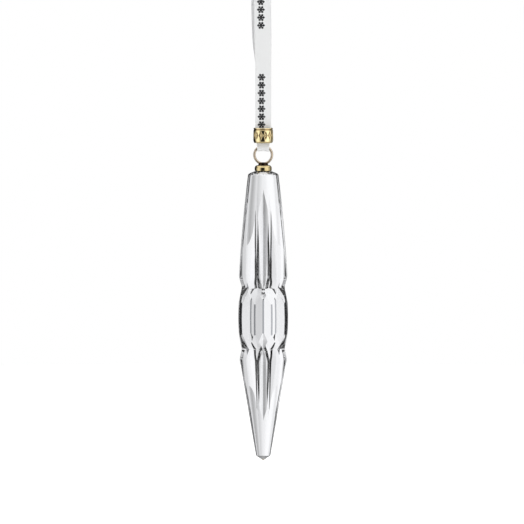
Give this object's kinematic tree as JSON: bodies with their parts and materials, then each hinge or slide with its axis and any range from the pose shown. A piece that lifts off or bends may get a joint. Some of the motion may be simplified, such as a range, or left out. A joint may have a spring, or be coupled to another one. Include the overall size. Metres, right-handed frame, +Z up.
{
  "type": "icicle hanging ornament",
  "caption": "Long faceted crystal drop with a gilt cap and ring, hung from a satin ribbon loop gathered by a sliding gilt bead.",
  "frame": {"origin": "the place between the two legs of the ribbon loop, just below its knot, where a hook or twig holds the ornament", "axes": "+Z up along the hanging axis, +X to the right across the ribbon's width, -Y to the front"},
  "size_m": [0.0204, 0.0202, 0.2155],
  "materials": {
    "crystal": "polished lead-free crystal, clear, sharp facets",
    "adhesive": "clear cured adhesive",
    "gilt": "polished pale gold plate",
    "satin": "white satin weave"
  },
  "bodies": {
    "ribbon": {"ribbon_front_leg": "satin", "ribbon_rear_leg": "satin", "ribbon_knot": "satin", "ribbon_tail_left": "satin", "ribbon_tail_right": "satin"},
    "bead": {"slider_bead": "gilt"},
    "bight": {"ribbon_bight": "satin"},
    "pendant": {"hanging_ring": "gilt", "eye_collar": "gilt", "cap_disc": "gilt", "adhesive_film": "adhesive", "crystal_icicle": "crystal"}
  },
  "joints": [
    {"name": "bead_slide", "type": "slide", "parent": "ribbon", "child": "bead", "axis": [0, 0, 1], "range_m": [-0.0006, 0.027]},
    {"name": "ribbon_twist", "type": "hinge", "parent": "ribbon", "child": "bight", "pos_m": [0, 0, -0.0625], "axis": [0, 0, 1], "range_deg": [-90, 90]},
    {"name": "pendant_swing", "type": "hinge", "parent": "bight", "child": "pendant", "pos_m": [0, 0, -0.0661], "axis": [1, 0, 0], "range_deg": [-30, 30]}
  ]
}
